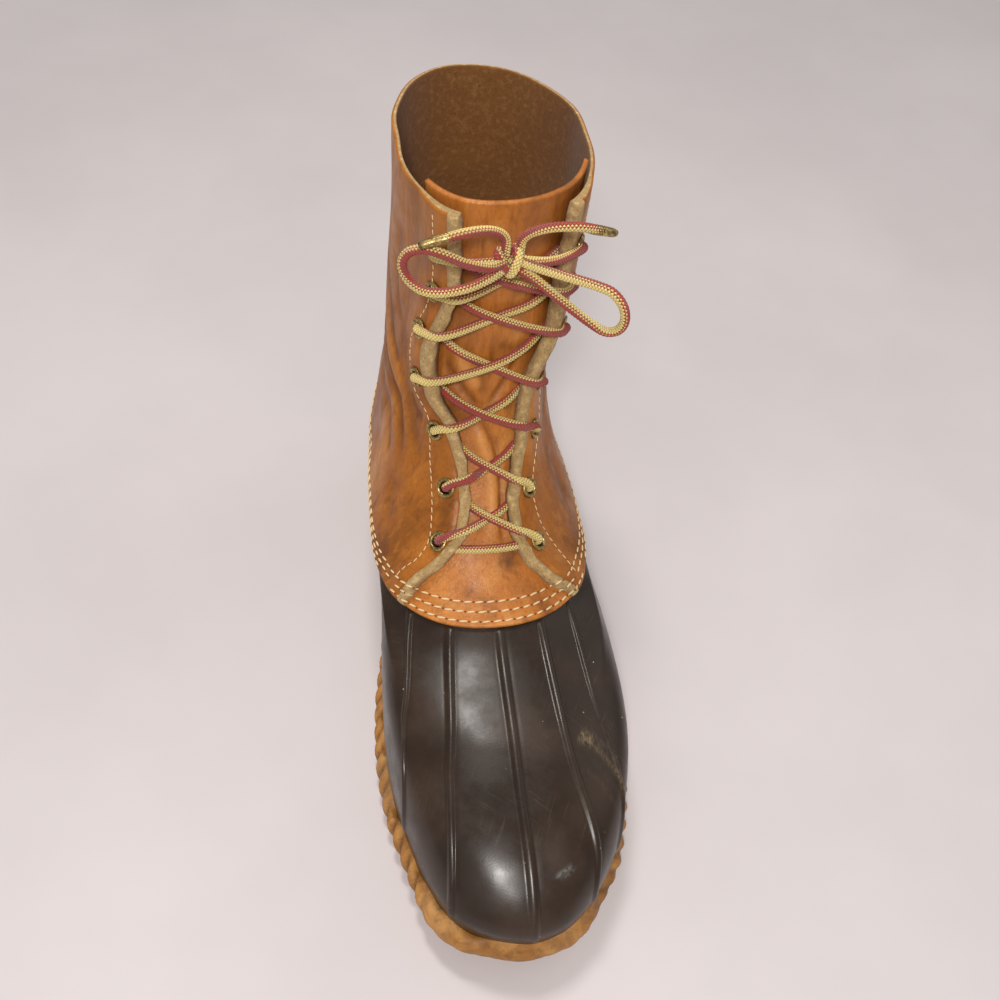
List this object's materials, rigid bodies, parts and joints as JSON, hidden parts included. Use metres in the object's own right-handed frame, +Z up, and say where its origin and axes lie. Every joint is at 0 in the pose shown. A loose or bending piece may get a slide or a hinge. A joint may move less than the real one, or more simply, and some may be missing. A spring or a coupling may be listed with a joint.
{
  "type": "duck boot",
  "caption": "Left lace-up duck boot with a tan leather upper, a ribbed brown rubber bottom and a tan rubber sole with a rolled edge.",
  "frame": {"origin": "middle of the heel's rest on the floor", "axes": "+Z up, toes toward -Y, heel toward +Y, the outer side of the left foot toward +X"},
  "size_m": [0.1125, 0.304, 0.2382],
  "materials": {
    "quarter_leather": "oiled tan leather with a soft sheen",
    "tongue_leather": "oiled reddish tan leather",
    "brown_rubber": "half-glossy dark brown moulded rubber",
    "tan_rubber": "matte mottled tan rubber",
    "insole": "matte lining",
    "eyelet_brass": "aged brass",
    "lace": "round braid in gold and dark red"
  },
  "bodies": {
    "root": {"upper": "quarter_leather", "tongue": "tongue_leather", "rubber_bottom": "brown_rubber", "outsole": "tan_rubber", "insole": "insole", "eyelet_outer_1": "eyelet_brass", "eyelet_outer_2": "eyelet_brass", "eyelet_outer_3": "eyelet_brass", "eyelet_outer_4": "eyelet_brass", "eyelet_outer_5": "eyelet_brass", "eyelet_outer_6": "eyelet_brass", "eyelet_outer_7": "eyelet_brass", "eyelet_inner_1": "eyelet_brass", "eyelet_inner_2": "eyelet_brass", "eyelet_inner_3": "eyelet_brass", "eyelet_inner_4": "eyelet_brass", "eyelet_inner_5": "eyelet_brass", "eyelet_inner_6": "eyelet_brass", "eyelet_inner_7": "eyelet_brass", "lace_bar": "lace", "lace_cross_1": "lace", "lace_cross_2": "lace", "lace_cross_3": "lace", "lace_cross_4": "lace", "lace_cross_5": "lace", "lace_cross_6": "lace", "lace_knot": "lace", "lace_loop_outer": "lace", "lace_loop_inner": "lace", "lace_end_outer": "lace", "lace_end_inner": "lace"}
  },
  "joints": []
}
